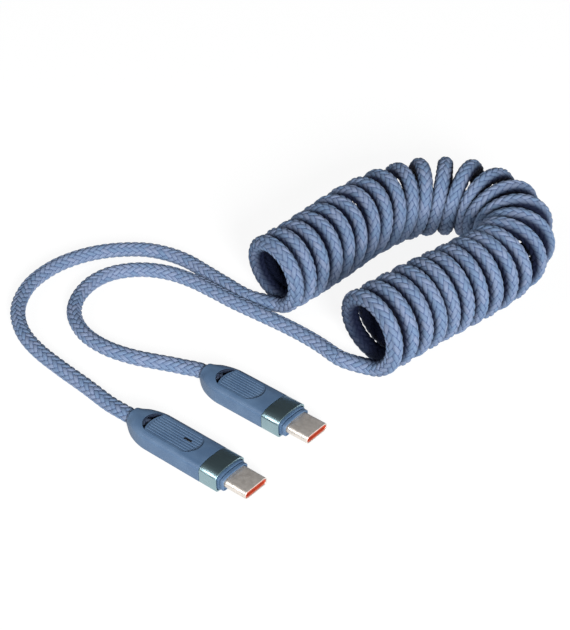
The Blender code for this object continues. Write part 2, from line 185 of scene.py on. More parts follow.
# %% The helix along its U
FAR_TURN_RADIUS = 9.05 * MM
NEAR_TURN_RADIUS = 9.8 * MM
POINTS_PER_TURN = 40
# The axis on plan in millimetres, from the long plug's end to the short plug's
AXIS_ROUTE = [
    (-26.4, 48.1), (-25.2, 60.0), (-24.8, 72.0), (-24.6, 84.0), (-22.6, 96.0), (-16.8, 107.5),
    (-6.5, 114.3), (4.5, 113.8), (13.0, 108.2), (17.3, 99.0), (17.3, 87.0), (15.2, 74.0),
    (12.8, 61.0), (10.3, 42.6),
]
# Travel along the axis, the pitch there, and how far the turns lean back, in millimetres and degrees
COIL_FORM = [
    (0, 4.5, -7), (20, 5.0, 14), (32, 6.1, 20), (50, 6.7, 14), (64, 6.6, 7), (76, 6.6, 7),
    (95, 6.6, 17), (118, 5.5, 5), (140, 5.2, 4), (163, 6.1, 3),
]

axis_line = evened(catmull_rom([(x * MM, y * MM, 0) for x, y in AXIS_ROUTE]), 0.5 * MM)
axis_travel = travel_along(axis_line)
axis_heading = np.gradient(axis_line, axis=0)
axis_heading /= np.linalg.norm(axis_heading, axis=1)[:, None]


def coil_points():
    """Walk along the axis and turn as the pitch says."""
    stops, pitches, leans = (np.array(column, float) for column in zip(*COIL_FORM))
    rate = 1 / (np.interp(axis_travel, stops * MM, pitches) * MM)
    turns = np.concatenate([[0], np.cumsum((rate[1:] + rate[:-1]) / 2 * np.diff(axis_travel))])
    count = round(turns[-1])
    turns *= count / turns[-1]
    points = []
    for step in range(count * POINTS_PER_TURN + 1):
        turn = step / POINTS_PER_TURN
        travel = np.interp(turn, turns, axis_travel)
        middle, heading = (Vector(np.interp(travel, axis_travel, source[:, k]) for k in range(3))
                           for source in (axis_line, axis_heading))
        side = Vector((heading.y, -heading.x, 0))
        radius = FAR_TURN_RADIUS + (NEAR_TURN_RADIUS - FAR_TURN_RADIUS) * turn / count
        lean = math.radians(np.interp(travel, stops * MM, leans))
        angle = 2 * math.pi * turn
        up = -math.cos(angle)
        place = middle + side * radius * math.sin(angle) + heading * radius * up * math.tan(lean)
        place.z = CORD_RADIUS + radius * (1 + up)
        points.append(place)
    return points, count


turn_points, TURN_COUNT = coil_points()
print("turns:", TURN_COUNT)

# %% [markdown]
# ## One smooth line
#
# The knots are joined by a Catmull-Rom spline, which passes through every one of them, and the line
# is read off again at an even spacing. The turns of an ideal helix would run through each other on
# the inside of the U. Real turns push each other aside, so the points of neighbouring turns that
# are nearer than a cord's diameter are moved apart, and the moves are smoothed along the cord.

# %% Join the knots and even out the spacing
STEP = 1.2 * MM

whole = catmull_rom(list(reversed(long_knots)) + turn_points[2:-2] + short_knots)
whole[:, 2] = np.maximum(whole[:, 2], CORD_RADIUS)
line = evened(whole, STEP)
print("cord length before the turns settle:", round(travel_along(line)[-1], 3), "m")

# %% Let the turns push each other aside
ROUNDS = 150
TOUCH = 0.985 * CORD_DIAMETER
FREE_STEPS = round(3 * CORD_DIAMETER / STEP)


def smoothed(moves, passes):
    """Moves averaged along the cord, its two ends held still."""
    for _ in range(passes):
        moves[1:-1] = moves[:-2] / 4 + moves[1:-1] / 2 + moves[2:] / 4
    return moves


def settle(start):
    """Push apart what is nearer than a cord's diameter, and keep all of it on the table."""
    place = start.copy()
    index = np.arange(len(place))
    apart = np.abs(index[:, None] - index[None, :]) > FREE_STEPS
    for _ in range(ROUNDS):
        square = (place ** 2).sum(1)
        distance2 = square[:, None] + square[None, :] - 2 * place @ place.T
        first, second = np.nonzero((distance2 < TOUCH ** 2) & apart)
        if len(first) == 0:
            break
        gap = place[first] - place[second]
        distance = np.maximum(np.linalg.norm(gap, axis=1), 0.01 * MM)
        push = gap / distance[:, None] * ((TOUCH - distance) / 2)[:, None]
        total = np.zeros_like(place)
        hits = np.zeros(len(place))
        np.add.at(total, first, push)
        np.add.at(hits, first, 1)
        place += total / np.maximum(hits, 1)[:, None]
        place = start + smoothed(place - start, 2)
        place[:, 2] = np.maximum(place[:, 2], CORD_RADIUS)
    print("touching pairs left:", len(first) // 2)
    return place


line = evened(settle(line), STEP)
CORD_LENGTH = travel_along(line)[-1]
lowest = line[:, 2].min() - CORD_RADIUS
print("cord length:", round(CORD_LENGTH, 3), "m, lowest point", round(lowest / MM, 3), "mm")

# %% [markdown]
# ## The braid
#
# The sleeve is woven from sixteen flat strands, eight each way, and each strand passes over two
# and under two. On a tube the crossings form a lattice of diamonds, so the mesh is built on that
# lattice: its edges run along the strands, and the thin gaps between strands fall on mesh lines. A
# uniform tube with a bump map would be lighter, but its outline would be smooth, and the outline of
# a real braid is scalloped.

# %% Carry a frame along the cord
STRANDS_EACH_WAY = 8
BRAID_PITCH = 2.19 * MM
LINES = (0.0, 0.12, 0.33, 0.67, 0.88)
RELIEF = 0.42 * MM
SEAM_DIP = 0.8
END_DIP = 0.7
# Bent tightly into the coil, the sleeve swells a little
LEAD_CROWN = 2.12 * MM
COIL_CROWN = 2.33 * MM
SWELLING_LENGTH = 12 * MM
PER_CELL = len(LINES)
ROUND_THE_CORD = STRANDS_EACH_WAY * PER_CELL

cells_along = round(CORD_LENGTH / BRAID_PITCH)
braid_pitch = CORD_LENGTH / cells_along


def carried_frames(points):
    """Tangents, and two directions across the cord that never twist about it."""
    tangents = np.gradient(points, axis=0)
    tangents /= np.linalg.norm(tangents, axis=1)[:, None]
    sides = np.empty_like(points)
    side = np.cross(tangents[0], (0, 0, 1))
    for i, tangent in enumerate(tangents):
        side = side - tangent * (side @ tangent)
        side /= np.linalg.norm(side)
        sides[i] = side
    return tangents, sides, np.cross(tangents, sides)


tangents, sides, ups = carried_frames(line)
line_travel = travel_along(line)
long_lead_length = travel_along(catmull_rom(long_knots))[-1]
short_lead_length = travel_along(catmull_rom(short_knots))[-1]
coil_ends = (long_lead_length, CORD_LENGTH - short_lead_length)


def crown_radius(travel):
    """The radius at the crown of the strands: a little more in the coil than in the leads."""
    first, last = coil_ends
    stops = [end + way * SWELLING_LENGTH for end in (first, last) for way in (-1, 1)]
    return np.interp(travel, stops, (LEAD_CROWN, COIL_CROWN, COIL_CROWN, LEAD_CROWN))


print("braid cells along the cord:", cells_along)

# %% Which way faces out of the coil, for the painted shade between turns
# Painted shade darkens the cord where turns of the coil touch, and inside the plugs
END_TURN_LENGTH = 8 * MM
SHELTER_START = 12 * MM
PLUG_SHADE = 0.45


def outward_directions():
    """For each point of the centreline: the ways out of the coil, and how far in it the point lies."""
    spread = ((line[:, None, :2] - axis_line[None, :, :2]) ** 2).sum(-1)
    nearest = spread.argmin(axis=1)
    heading = axis_heading[nearest]
    centre = axis_line[nearest].copy()
    centre[:, 2] = CORD_RADIUS + np.interp(
        axis_travel[nearest], (0, axis_travel[-1]), (FAR_TURN_RADIUS, NEAR_TURN_RADIUS))
    out = line - centre
    out -= heading * (out * heading).sum(1)[:, None]
    out /= np.linalg.norm(out, axis=1)[:, None]
    to_start, to_end = axis_travel[nearest], axis_travel[-1] - axis_travel[nearest]
    tilt = np.clip(1 - to_end / END_TURN_LENGTH, 0, 1) - np.clip(1 - to_start / END_TURN_LENGTH, 0, 1)
    first, last = coil_ends
    stops = (first, first + SHELTER_START, last - SHELTER_START, last)
    return out, heading * tilt[:, None], np.interp(line_travel, stops, (0, 1, 1, 0))


outward, end_facing, in_coil = outward_directions()

# %% The lattice of the weave


def line_place(number):
    """Where a lattice line lies, counted in strands: whole strands, then its place on the strand."""
    return np.floor_divide(number, PER_CELL) + np.array(LINES)[np.mod(number, PER_CELL)]


def on_top(a, b):
    """At each lattice point: both strands, their order, and if the right-hand one is over."""
    i, j = np.floor(a), np.floor(b)
    order = np.mod(i - j, 4)
    return i, j, order, order < 2


def strand_places(a, b, i, j, order, right_over):
    """How far points lie across the strand on top, from 0 to 1, and along its float, from 0 to 2."""
    across_strand = np.where(right_over, a - i, b - j)
    along_float = np.where(right_over, 1 - order + b - j, order - 2 + a - i)
    return across_strand, along_float


def woven_height(a, b):
    """The height of the woven surface, from 0 in a gap to 1 on the crown of a strand."""
    across_strand, along_float = strand_places(a, b, *on_top(a, b))
    seam = 1 - SEAM_DIP * np.abs(2 * across_strand - 1) ** 4
    return seam * (1 - END_DIP * np.abs(along_float - 1) ** 3)


# %% The sleeve's points


def sleeve_points(first_cell, last_cell):
    """Points of the woven surface between two cells, ring by ring, with their heights and painted light.
    """
    ring = np.arange((last_cell - first_cell) * 2 * PER_CELL + 1)[:, None] + first_cell * 2 * PER_CELL
    q = 2 * np.arange(ROUND_THE_CORD)[None, :] + ring % 2
    a, b = line_place((ring + q) // 2), line_place((ring - q) // 2)
    travel = braid_pitch * (a + b) / 2
    angle = (math.pi * (a - b) / STRANDS_EACH_WAY)[..., None]
    height = woven_height(a, b)
    radius = (crown_radius(travel) - RELIEF * (1 - height))[..., None]
    middle, side, up, out, end = (
        np.stack([np.interp(travel, line_travel, source[:, k]) for k in range(3)], axis=-1)
        for source in (line, sides, ups, outward, end_facing))
    away = side * np.cos(angle) + up * np.sin(angle)
    coiled = np.interp(travel, line_travel, in_coil)
    # The less a point faces out of the coil, or inside a plug, the less painted light it keeps: painted
    # shade
    painted_light_share = 1 - coiled * (1 - np.maximum((away * out).sum(-1), (away * end).sum(-1)))
    from_end = np.minimum(travel, CORD_LENGTH - travel)
    plug_shade = np.interp(from_end, (CORD_REACH_IN_PLUG - MM, CORD_REACH_IN_PLUG), (PLUG_SHADE, 1))
    painted_light_share = np.minimum(painted_light_share, plug_shade)
    points = middle + away * radius
    points[..., 2] = np.maximum(points[..., 2], 0)
    return points.reshape(-1, 3), height.ravel(), painted_light_share.ravel()


# %% The sleeve's faces


def sleeve_faces(cells):
    """Diamonds from ring to ring, teeth that fill the zigzag ends, and a fan that closes each end."""
    rings = cells * 2 * PER_CELL
    wide = ROUND_THE_CORD
    step = np.arange(wide)
    base = np.arange(rings - 1)[:, None]
    odd = base % 2
    left = (base + 1) * wide + (step - 1 + odd) % wide
    right = (base + 1) * wide + (step + odd) % wide
    diamonds = np.stack([base * wide + step, right, (base + 2) * wide + step, left], axis=-1)
    diamonds = diamonds.reshape(-1, 4)
    following = (step + 1) % wide
    last = rings * wide
    first_centre, last_centre = last + wide, last + wide + 1
    teeth = np.concatenate([
        np.stack([step, following, wide + step], axis=-1),
        np.stack([last + step, last - wide + step, last + following], axis=-1)])
    fans = np.concatenate([
        np.stack([np.full(wide, first_centre), following, step], axis=-1),
        np.stack([np.full(wide, last_centre), last + step, last + following], axis=-1)])
    return diamonds, teeth, fans


def diamond_weave(first_cell, cells):
    """For each diamond: its corners' places on the strand on top, and a number for that float."""
    ring = np.arange(cells * 2 * PER_CELL - 1)[:, None] + first_cell * 2 * PER_CELL
    q = 2 * np.arange(ROUND_THE_CORD)[None, :] + ring % 2
    m, n = ((ring + q) // 2).ravel(), ((ring - q) // 2).ravel()
    low_a, high_a, low_b, high_b = line_place(m), line_place(m + 1), line_place(n), line_place(n + 1)
    i, j, order, right_over = on_top((low_a + high_a) / 2, (low_b + high_b) / 2)
    corners = [strand_places(a, b, i, j, order, right_over)
               for a, b in ((low_a, low_b), (high_a, low_b), (high_a, high_b), (low_a, high_b))]
    strand = np.mod(np.where(right_over, i, j), STRANDS_EACH_WAY)
    strand += np.where(right_over, 0, STRANDS_EACH_WAY)
    order_along = np.where(right_over, i + j + order, i + j - order)
    return corners, strand, order_along


# %% Weave a stretch of the sleeve
CHANCES_PER_STRAND = 4096


def weave(name, first_cell, last_cell):
    """One closed piece of the braided cord, and the centreline that it follows."""
    cells = last_cell - first_cell
    points, height, painted_light_share = sleeve_points(first_cell, last_cell)
    ends = [np.array([np.interp(cell * braid_pitch, line_travel, line[:, k]) for k in range(3)])
            for cell in (first_cell, last_cell)]
    diamonds, teeth, fans = sleeve_faces(cells)
    mesh = bpy.data.meshes.new(name)
    faces = diamonds.tolist() + teeth.tolist() + fans.tolist()
    mesh.from_pydata(np.vstack([points, ends]).tolist(), [], faces)
    corners, strand, order_along = diamond_weave(first_cell, cells)
    loose = np.zeros((3 * (len(teeth) + len(fans)), 2))
    strand_map = mesh.uv_layers.new(name="strand")
    chances = np.random.default_rng(5).random((2 * STRANDS_EACH_WAY, CHANCES_PER_STRAND))
    chance = chances[strand.astype(int), order_along.astype(int) % CHANCES_PER_STRAND]
    places = np.stack([np.stack([along_float + 3 * order_along, across_strand + 2 * strand], axis=-1)
                       for across_strand, along_float in corners], axis=1)
    places = np.vstack([places.reshape(-1, 2), loose])
    strand_map.data.foreach_set("uv", places.astype(np.float32).ravel())
    for title, values in (("lift", height), ("painted_light_share", painted_light_share)):
        stored = mesh.attributes.new(title, "FLOAT", "POINT")
        stored.data.foreach_set("value", np.append(values, [0, 0]).astype(np.float32))
    tint = mesh.attributes.new("tint", "FLOAT", "FACE")
    tint.data.foreach_set("value", np.append(chance, np.zeros(len(teeth) + len(fans))).astype(np.float32))
    mesh.shade_smooth()
    piece = bpy.data.objects.new(name, mesh)
    bpy.context.scene.collection.objects.link(piece)
    inner = (line_travel > first_cell * braid_pitch) & (line_travel < last_cell * braid_pitch)
    path = np.vstack([ends[0], line[inner], ends[1]])
    triangles = len(diamonds) * 2 + len(teeth) + len(fans)
    print(name, "triangles:", triangles, "length:", round(cells * braid_pitch / MM), "mm")
    return piece, path


# %% Cut the cord into the two leads and four stretches of coil
COIL_STRETCHES = 4
coil_first = round(long_lead_length / braid_pitch)
coil_last = cells_along - round(short_lead_length / braid_pitch)
cuts = np.linspace(coil_first, coil_last, COIL_STRETCHES + 1).round().astype(int)

cord_pieces = [("braid_long_lead", 0, coil_first, "long_plug_lead")]
for number, (first, last) in enumerate(zip(cuts, cuts[1:]), start=1):
    cord_pieces.append((f"braid_coil_{number}", int(first), int(last), "coil"))
cord_pieces.append(("braid_short_lead", int(coil_last), cells_along, "short_plug_lead"))

braids = {}
for name, first, last, node in cord_pieces:
    piece, path = weave(name, first, last)
    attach(piece, "root")
    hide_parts(node)
    "coiled" if node == "coil" else "loose"
    braids[name] = piece

# %% [markdown]
# ## Modelling by hand, in code
#
# The plugs are modelled with the operators that Blender's own menus call. An operator works on
# whatever is selected, so a small helper picks vertices, edges or faces by where they are. A cutter
# is an ordinary mesh that a Boolean modifier takes out of a body; the exact solver keeps the cut
# crisp. Each piece is modelled with the rear of its grip at the origin, and moved to its place last.

# %% Select, extrude, cut and place
TINY = 0.001 * MM
PICK_MODES = {"verts": "VERT", "edges": "EDGE", "faces": "FACE"}


def only(piece):
    """Select one object and nothing else."""
    bpy.ops.object.select_all(action="DESELECT")
    piece.select_set(True)
    bpy.context.view_layer.objects.active = piece


def pick(kind, test):
    """In edit mode, select the verts, edges or faces whose middle passes a test."""
    bpy.ops.mesh.select_mode(type=PICK_MODES[kind])
    bpy.ops.mesh.select_all(action="DESELECT")
    open_mesh = bmesh.from_edit_mesh(bpy.context.object.data)
    for element in getattr(open_mesh, kind):
        corners = [element.co] if kind == "verts" else [v.co for v in element.verts]
        if test(sum(corners, Vector()) / len(corners)):
            element.select_set(True)
    bmesh.update_edit_mesh(bpy.context.object.data)


def extrude(x):
    """Extrude what is selected along the plug."""
    bpy.ops.mesh.extrude_region_move(TRANSFORM_OT_translate={"value": (x, 0, 0)})


def edit():
    """Open the active object's mesh."""
    bpy.ops.object.mode_set(mode="EDIT")


def close():
    """Leave edit mode."""
    bpy.ops.object.mode_set(mode="OBJECT")


def bake_place():
    """Put the active object's place, turn and scale into its mesh."""
    bpy.ops.object.transform_apply(location=True, rotation=True, scale=True)


def finish_by(piece, kind, **settings):
    """Add a modifier and apply it."""
    modifier = piece.modifiers.new(kind, kind)
    for name, value in settings.items():
        setattr(modifier, name, value)
    only(piece)
    bpy.ops.object.modifier_apply(modifier=modifier.name)


def soften(piece, width, segments, angle=60):
    """Bevel the edges of a piece that are sharper than an angle."""
    finish_by(piece, "BEVEL", width=width, segments=segments, limit_method="ANGLE",
              angle_limit=math.radians(angle), use_clamp_overlap=True)


def cut_out(piece, *cutters):
    """Take cutters out of a piece and drop them."""
    for cutter in cutters:
        finish_by(piece, "BOOLEAN", object=cutter, solver="EXACT")
        bpy.data.objects.remove(cutter, do_unlink=True)


def joined(name, pieces):
    """Join pieces into one object."""
    bpy.ops.object.select_all(action="DESELECT")
    for piece in pieces:
        piece.select_set(True)
    bpy.context.view_layer.objects.active = pieces[0]
    bpy.ops.object.join()
    pieces[0].name = name
    return pieces[0]


def settle_in(piece, node, move=(0, 0, 0), angle=30):
    """Move a piece to its place in its mesh, shade it, and let it stand for its CAD node."""
    only(piece)
    piece.location = piece.location + Vector(move)
    bake_place()
    bpy.ops.object.shade_smooth_by_angle(angle=math.radians(angle))
    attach(piece, "root")
    if node:
        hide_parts(node)
    print(piece.name, "faces:", len(piece.data.polygons))


def copied(piece, name):
    """A copy of a piece with a mesh of its own."""
    copy = piece.copy()
    copy.data = piece.data.copy()
    copy.name = copy.data.name = name
    bpy.context.scene.collection.objects.link(copy)
    return copy


# %% [markdown]
# ## The plug's section
#
# Grip, trim band and nose share one section: upright sides, a low crowned top that meets them in a
# soft shoulder, and a flat underside with rounded edges. It could be drawn point by point. Bevelling
# the corners of one upright plane is quicker: the top corners get a large round bevel, and what
# stands above the shoulders is then pressed down, which turns the rounds into flat ellipses.

# %% One face across the plug
PLUG_WIDTH = 10.6 * MM
HALF_HEIGHT = PLUG_HEIGHT / 2
SIDE_HEIGHT = 4.1 * MM
SHOULDER_WIDTH = 4.2 * MM
LOW_EDGE_RADIUS = 1.1 * MM


def section(name, x):
    """A face across the plug at x, left open in edit mode."""
    tall = SIDE_HEIGHT + SHOULDER_WIDTH
    bpy.ops.mesh.primitive_plane_add(size=1, location=(x, 0, tall / 2), rotation=(0, math.pi / 2, 0))
    piece = bpy.context.object
    piece.name = piece.data.name = name
    piece.scale = (tall, PLUG_WIDTH, 1)
    bake_place()
    edit()
    pick("verts", lambda at: at.z > SIDE_HEIGHT)
    bpy.ops.mesh.bevel(offset=SHOULDER_WIDTH, segments=16, affect="VERTICES")
    pick("verts", lambda at: at.z < TINY)
    bpy.ops.mesh.bevel(offset=LOW_EDGE_RADIUS, segments=7, affect="VERTICES")
    pick("verts", lambda at: at.z > SIDE_HEIGHT + TINY)
    bpy.ops.transform.resize(value=(1, 1, (PLUG_HEIGHT - SIDE_HEIGHT) / SHOULDER_WIDTH),
                             center_override=(0, 0, SIDE_HEIGHT))
    return piece


# %% [markdown]
# ## The grip
#
# The grip is one moulding over the cord and the metal parts. Its rear closes from the slab down to a
# round collar that holds the cord, and its front steps in under the trim band and goes on as a nose
# with a groove behind its rounded end. The taper could be a bridge between two loops, but the two
# would twist against each other. Here the section's rear face is extruded in short steps, each new
# ring is fitted to the width there, and the last ones are pulled towards a circle.

# %% The grip's sizes
TAPER_LENGTH = 8.5 * MM
TAPER_STEPS = 14
COLLAR_WIDTH = 5.6 * MM
COLLAR_EDGE = 0.3 * MM
ROUND_SHARE = 0.35
BAND_LENGTH = 5.8 * MM
NECK_INSET = 0.62 * MM
NECK_SHOW = 0.4 * MM
NOSE_LENGTH = 1.7 * MM
NOSE_SIDE_INSET = 0.72 * MM
NOSE_TOP_INSET = 0.9 * MM
NOSE_EDGE = 0.25 * MM
NOSE_DISH = 0.4 * MM
NOSE_GROOVE_WIDTH = 0.35 * MM
NOSE_GROOVE_DEPTH = 0.24 * MM
NOSE_EDGE_STEPS = 4

# %% Taper the rear


def fit_ring(width, height):
    """Resize the selected ring about the plug's axis."""
    ring = [v.co for v in bmesh.from_edit_mesh(bpy.context.object.data).verts if v.select]
    wide = max(p.y for p in ring) - min(p.y for p in ring)
    low, high = min(p.z for p in ring), max(p.z for p in ring)
    bpy.ops.transform.translate(value=(0, 0, HALF_HEIGHT - (low + high) / 2))
    bpy.ops.transform.resize(value=(1, width / wide, height / (high - low)),
                             center_override=(0, 0, HALF_HEIGHT))


def taper_rear():
    """Extrude the rear face back to the collar, easing from the slab to a circle."""
    for step in range(TAPER_STEPS - 1, -1, -1):
        share = step / TAPER_STEPS
        ease = math.sin(share * math.pi / 2)
        pick("faces", lambda at: at.x < (step + 1) * TAPER_LENGTH / TAPER_STEPS + TINY
             and abs(at.y) < TINY and abs(at.z - HALF_HEIGHT) < SIDE_HEIGHT / 4)
        extrude(-TAPER_LENGTH / TAPER_STEPS)
        if share < ROUND_SHARE:
            bpy.ops.transform.tosphere(value=(1 - share / ROUND_SHARE) ** 1.5)
        fit_ring(COLLAR_WIDTH + (PLUG_WIDTH - COLLAR_WIDTH) * ease,
                 COLLAR_WIDTH + (PLUG_HEIGHT - COLLAR_WIDTH) * ease)
    pick("edges", lambda at: at.x < TINY)
    bpy.ops.mesh.bevel(offset=COLLAR_EDGE, segments=4, affect="EDGES")


# %% Step in for the band, and shape the nose


def shape_nose(grip_length):
    """Draw the front in for the neck, extrude it under the band, and groove, round and dish the nose."""
    def draw_on(forward, side_inset, top_inset):
        extrude(forward)
        fit_ring(PLUG_WIDTH - 2 * side_inset, PLUG_HEIGHT - 2 * top_inset)

    pick("faces", lambda at: at.x > grip_length - TINY)
    draw_on(0, NECK_INSET, NECK_INSET)
    draw_on(BAND_LENGTH + NECK_SHOW, NECK_INSET, NECK_INSET)
    for forward in (0, NOSE_GROOVE_WIDTH):
        draw_on(forward, NOSE_SIDE_INSET + NOSE_GROOVE_DEPTH, NOSE_TOP_INSET + NOSE_GROOVE_DEPTH)
    for forward in (0, NOSE_LENGTH - NECK_SHOW - NOSE_GROOVE_WIDTH - NOSE_EDGE):
        draw_on(forward, NOSE_SIDE_INSET, NOSE_TOP_INSET)
    for step in range(1, NOSE_EDGE_STEPS + 1):
        angle, before = (math.pi / 2 * k / NOSE_EDGE_STEPS for k in (step, step - 1))
        forward = NOSE_EDGE * (math.sin(angle) - math.sin(before))
        inset = NOSE_EDGE * (1 - math.cos(angle))
        draw_on(forward, NOSE_SIDE_INSET + inset, NOSE_TOP_INSET + inset)
    for forward, inset in ((0, NOSE_EDGE + TINY), (-NOSE_DISH, NOSE_EDGE + NOSE_DISH / 2)):
        draw_on(forward, NOSE_SIDE_INSET + inset, NOSE_TOP_INSET + inset)


# %% [markdown]
# ## The finger pad
#
# A shallow recess with round ends is sunk in the top, with eight lengthwise grooves for grip. Behind
# its rear end a crescent window opens onto the cord. They are cut, because a cutter can be a plain
# shape while the top that it meets is crowned: a cylinder whose two halves are moved apart makes the
# recess, and a disc with a larger disc taken out of it makes the crescent.

# %% The pad's sizes
PAD_WIDTH = 7.5 * MM
PAD_SURFACE = PLUG_HEIGHT - 0.45 * MM
PAD_START = 4.6 * MM
PAD_FRONT_MARGIN = 4.0 * MM
GROOVE_COUNT = 8
GROOVE_PITCH = 0.83 * MM
GROOVE_RADIUS = 0.21 * MM
GROOVE_END_MARGIN = 0.6 * MM
WINDOW_LENGTH = 1.7 * MM
WINDOW_BULGE = 0.9 * MM
WINDOW_LEDGE = 0.06 * MM
WINDOW_FRONT = PAD_START + WINDOW_LENGTH
CUT_OVERRUN = 1.0 * MM

# %% Cutters with round ends


def cylinder(name, radius, depth, middle, sides, lying):
    """A cylinder that stands upright or lies along the plug."""
    bpy.ops.mesh.primitive_cylinder_add(
        vertices=sides, radius=radius, depth=depth, location=middle,
        rotation=(0, math.pi / 2, 0) if lying else (0, 0, 0))
    bar = bpy.context.object
    bar.name = bar.data.name = name
    bake_place()
    return bar


def round_bar(name, length, width, depth, middle, across=False, sides=64):
    """A bar with round ends: upright, or lying along the plug and wide across it."""
    bar = cylinder(name, width / 2, depth, middle, sides, across)
    edit()
    apart = (length - width) / 2
    for way in (-1, 1):
        if across:
            pick("verts", lambda at: (at.y - middle[1]) * way > TINY)
            bpy.ops.transform.translate(value=(0, apart * way, 0))
        else:
            pick("verts", lambda at: (at.x - middle[0]) * way > TINY)
            bpy.ops.transform.translate(value=(apart * way, 0, 0))
    close()
    return bar


def upright_disc(name, radius, x, low, high, sides=96):
    """A disc from one height to another."""
    return cylinder(name, radius, high - low, (x, 0, (low + high) / 2), sides, False)


def lengthwise_rod(name, radius, start, end, y, z, sides=16):
    """A rod along the plug."""
    return cylinder(name, radius, end - start, ((start + end) / 2, y, z), sides, True)


# %% Recess, grooves and window


def pad_cutters(grip_length):
    """Everything that is cut from the top of a grip."""
    pad_length = grip_length - PAD_START - PAD_FRONT_MARGIN
    pad_middle = PAD_START + pad_length / 2
    top = PLUG_HEIGHT + CUT_OVERRUN
    recess = round_bar(
        "recess", pad_length, PAD_WIDTH, top - PAD_SURFACE, (pad_middle, 0, (top + PAD_SURFACE) / 2))
    end_radius = PAD_WIDTH / 2
    grooves = []
    for number in range(GROOVE_COUNT):
        y = (number - (GROOVE_COUNT - 1) / 2) * GROOVE_PITCH
        reach = pad_length / 2 - end_radius + math.sqrt(end_radius ** 2 - y ** 2) - GROOVE_END_MARGIN
        window_edge = WINDOW_FRONT + WINDOW_BULGE * (y / end_radius) ** 2
        start = max(pad_middle - reach, window_edge + GROOVE_END_MARGIN)
        grooves.append(lengthwise_rod("groove", GROOVE_RADIUS, start, pad_middle + reach, y, PAD_SURFACE))
    window_radius = end_radius - WINDOW_LEDGE
    tip_distance = PAD_START + end_radius - WINDOW_FRONT - WINDOW_BULGE
    half_chord = math.sqrt(window_radius ** 2 - tip_distance ** 2)
    back_radius = (half_chord ** 2 + WINDOW_BULGE ** 2) / (2 * WINDOW_BULGE)
    window = upright_disc("window", window_radius, PAD_START + end_radius, HALF_HEIGHT, top)
    pad_end = upright_disc("pad_end", back_radius, WINDOW_FRONT + back_radius, 0, 2 * top, 192)
    cut_out(window, pad_end)
    return recess, joined("grooves", grooves), window


# %% [markdown]
# ## Both grips
#
# The two grips differ in length, and only the long one has the slot of the indicator lamp, so one
# function models both. The cord's bore and the pocket of the metal shell are cut last.

# %% Model the two grips
CORD_GAP = 0.3 * MM
BORE_DEPTH = 6.2 * MM
SHELL_SEAT = 2.0 * MM
SHELL_WIDTH = 8.25 * MM
SHELL_HEIGHT = 2.4 * MM
SHELL_GAP = 0.1 * MM
LAMP_LENGTH = 2.7 * MM
LAMP_WIDTH = 0.85 * MM
LAMP_DEPTH = 0.6 * MM
LAMP_SETBACK = 8.8 * MM
LAMP_SIDE = 0.7 * MM
RIM_SOFTENING = 0.07 * MM


def mark_window(grip):
    """Store which upright faces line the window, where little light gets in, for painted shade there."""
    centre = Vector((PAD_START + PAD_WIDTH / 2, 0))
    marks = []
    for face in grip.data.polygons:
        at = face.center
        inside = (at.xy - centre).length < PAD_WIDTH / 2 + TINY and at.x < WINDOW_FRONT + WINDOW_BULGE
        marks.append(float(inside and at.z > CORD_RADIUS / 2 and abs(face.normal.z) < 0.5))
    shade_mask = grip.data.attributes.new("window_painted_shade", "FLOAT", "FACE")
    shade_mask.data.foreach_set("value", marks)
    print("faces that line the window:", int(sum(marks)))


def model_grip(name, grip_length, has_lamp):
    """One grip with its pad, window, bore and pocket."""
    grip = section(name, TAPER_LENGTH)
    bpy.ops.mesh.select_all(action="SELECT")
    extrude(grip_length - TAPER_LENGTH)
    taper_rear()
    shape_nose(grip_length)
    close()
    nose_front = grip_length + BAND_LENGTH + NOSE_LENGTH
    bore = lengthwise_rod("bore", CORD_RADIUS + CORD_GAP, -CUT_OVERRUN, BORE_DEPTH, 0, HALF_HEIGHT, 48)
    seat = SHELL_SEAT + SHELL_GAP
    pocket = round_bar(
        "pocket", SHELL_WIDTH + 2 * SHELL_GAP, SHELL_HEIGHT + 2 * SHELL_GAP, seat + CUT_OVERRUN,
        (nose_front + (CUT_OVERRUN - seat) / 2, 0, HALF_HEIGHT), across=True)
    cut_out(grip, *pad_cutters(grip_length), bore, pocket)
    if has_lamp:
        slot_height = PAD_SURFACE + (CUT_OVERRUN - LAMP_DEPTH) / 2
        slot = round_bar("lamp_slot", LAMP_LENGTH, LAMP_WIDTH, LAMP_DEPTH + CUT_OVERRUN,
                         (grip_length - LAMP_SETBACK, LAMP_SIDE, slot_height))
        cut_out(grip, slot)
    soften(grip, RIM_SOFTENING, 2, 50)
    mark_window(grip)
    return grip


plug_places = {
    "long_plug": long_plug_rear - Vector((0, 0, HALF_HEIGHT)),
    "short_plug": short_plug_rear - Vector((0, 0, HALF_HEIGHT)),
}
grip_lengths = {"long_plug": 27.0 * MM, "short_plug": 23.4 * MM}
shaped = {}
for plug, place in plug_places.items():
    grip = model_grip(f"{plug}_body", grip_lengths[plug], plug == "long_plug")
    settle_in(grip, f"{plug}_grip", place, 32)
    shaped[f"{plug}_body"] = grip

# %% [markdown]
# ## The trim band
#
# A pressed metal band closes the front of each grip, flush with it, with bright bevelled rims. The
# plug's section is extruded to the band's length, its two end faces are deleted, and Solidify gives
# the open sleeve its wall. A cut would do as well, but Solidify keeps the wall even.

# %% Model one band and copy it
BAND_WALL = 0.5 * MM
BAND_GAP = 0.1 * MM
BAND_BEVEL = 0.16 * MM

